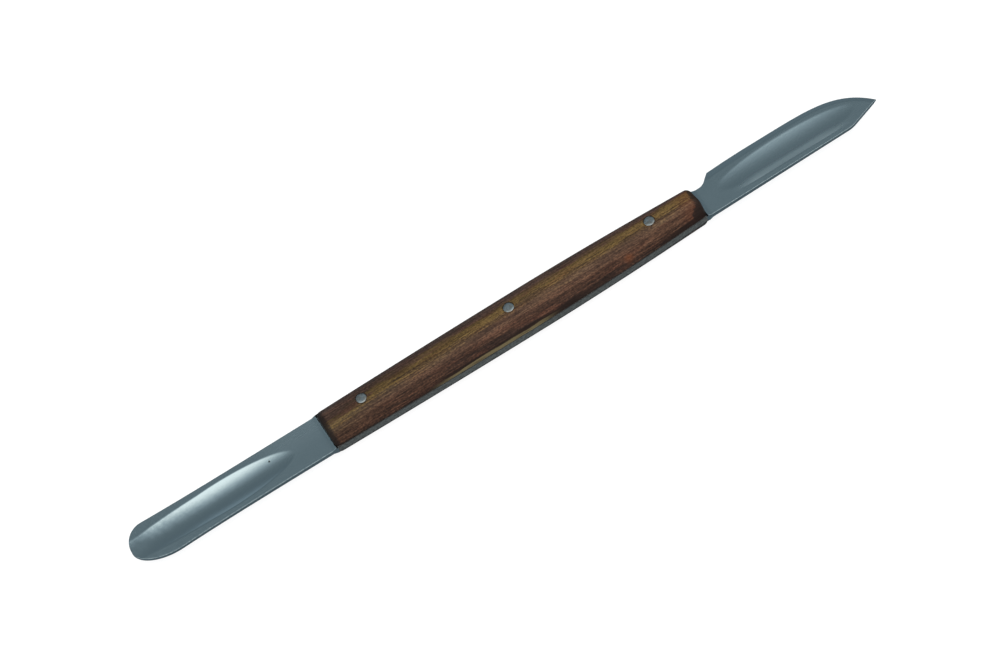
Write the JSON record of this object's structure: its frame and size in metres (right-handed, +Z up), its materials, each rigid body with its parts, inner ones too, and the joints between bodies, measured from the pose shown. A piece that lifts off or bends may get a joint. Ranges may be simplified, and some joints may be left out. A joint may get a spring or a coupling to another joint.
{
  "type": "lab spatula",
  "caption": "Hand spatula for lab wax and powder: a hollowed steel spoon end and a knife end on a full tang between pinned wooden handle scales.",
  "frame": {"origin": "on the middle pin's axis, in the plane of the rear scale's crown flat that the tool lies on", "axes": "+X along the tool to the knife's point, +Y to the cutting edge, +Z up, out of the face that the picture shows"},
  "size_m": [0.17, 0.0107, 0.0088],
  "materials": {
    "blade_steel": "polished stainless steel with fine grinding marks",
    "handle_wood": "oiled dark brown hardwood with long streaks",
    "pin_steel": "filed flush with the wood"
  },
  "bodies": {
    "root": {"blade": "blade_steel", "front_scale": "handle_wood", "rear_scale": "handle_wood", "spoon_end_pin": "pin_steel", "middle_pin": "pin_steel", "knife_end_pin": "pin_steel"}
  },
  "joints": []
}
